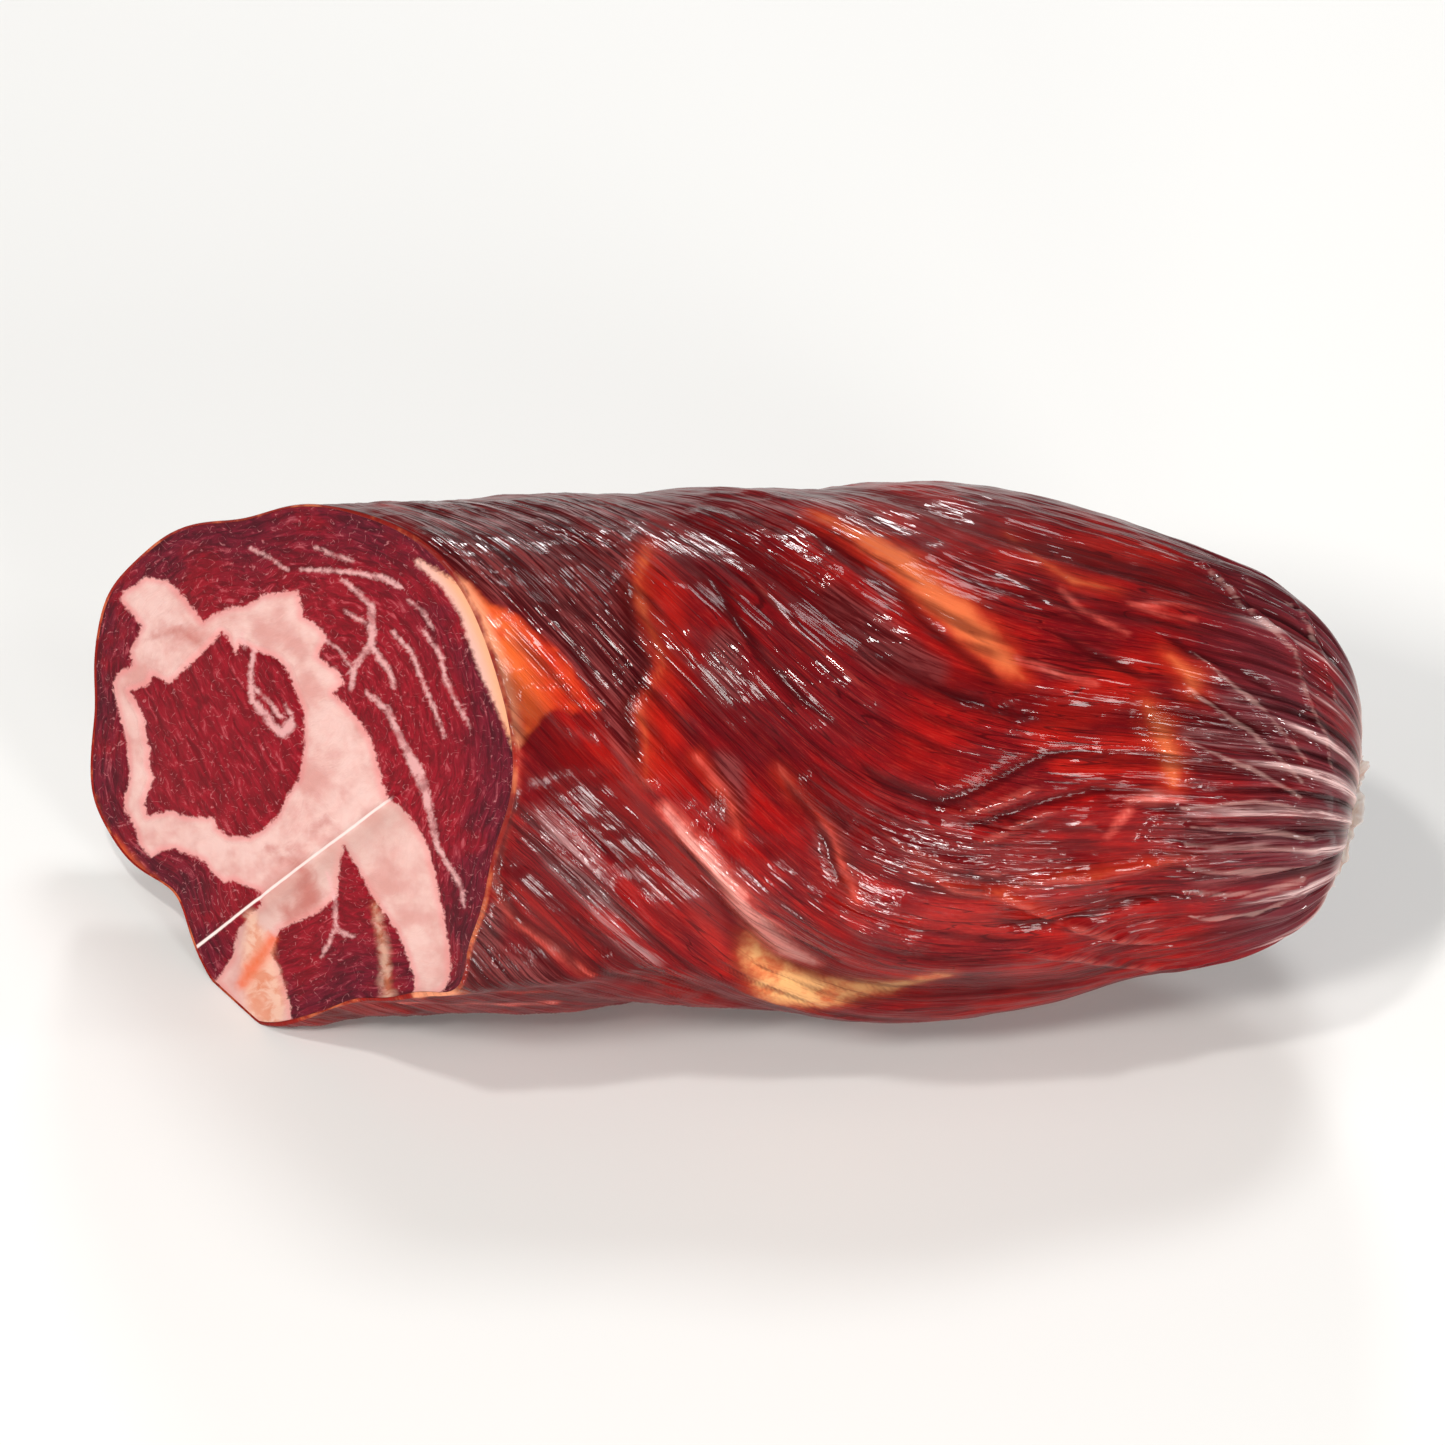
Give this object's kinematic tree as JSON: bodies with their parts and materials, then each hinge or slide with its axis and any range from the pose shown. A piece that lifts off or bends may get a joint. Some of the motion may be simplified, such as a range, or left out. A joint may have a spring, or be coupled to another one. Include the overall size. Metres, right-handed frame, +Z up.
{
  "type": "half paio sausage",
  "caption": "Half of a cured whole-muscle pork sausage, cut on the slant to a marbled face at the left and gathered in pleats to a tied tail at the right.",
  "frame": {"origin": "centre of the bounding box at table level, under the sausage as it lies", "axes": "+X along the sausage from the cut face to the tied end, +Y away from the cut side that faces the viewer, +Z up"},
  "size_m": [0.1836, 0.078, 0.0786],
  "materials": {
    "cured_meat": "glossy natural casing drawn tight over dark red cured pork"
  },
  "bodies": {
    "root": {"half_paio": "cured_meat"}
  },
  "joints": []
}
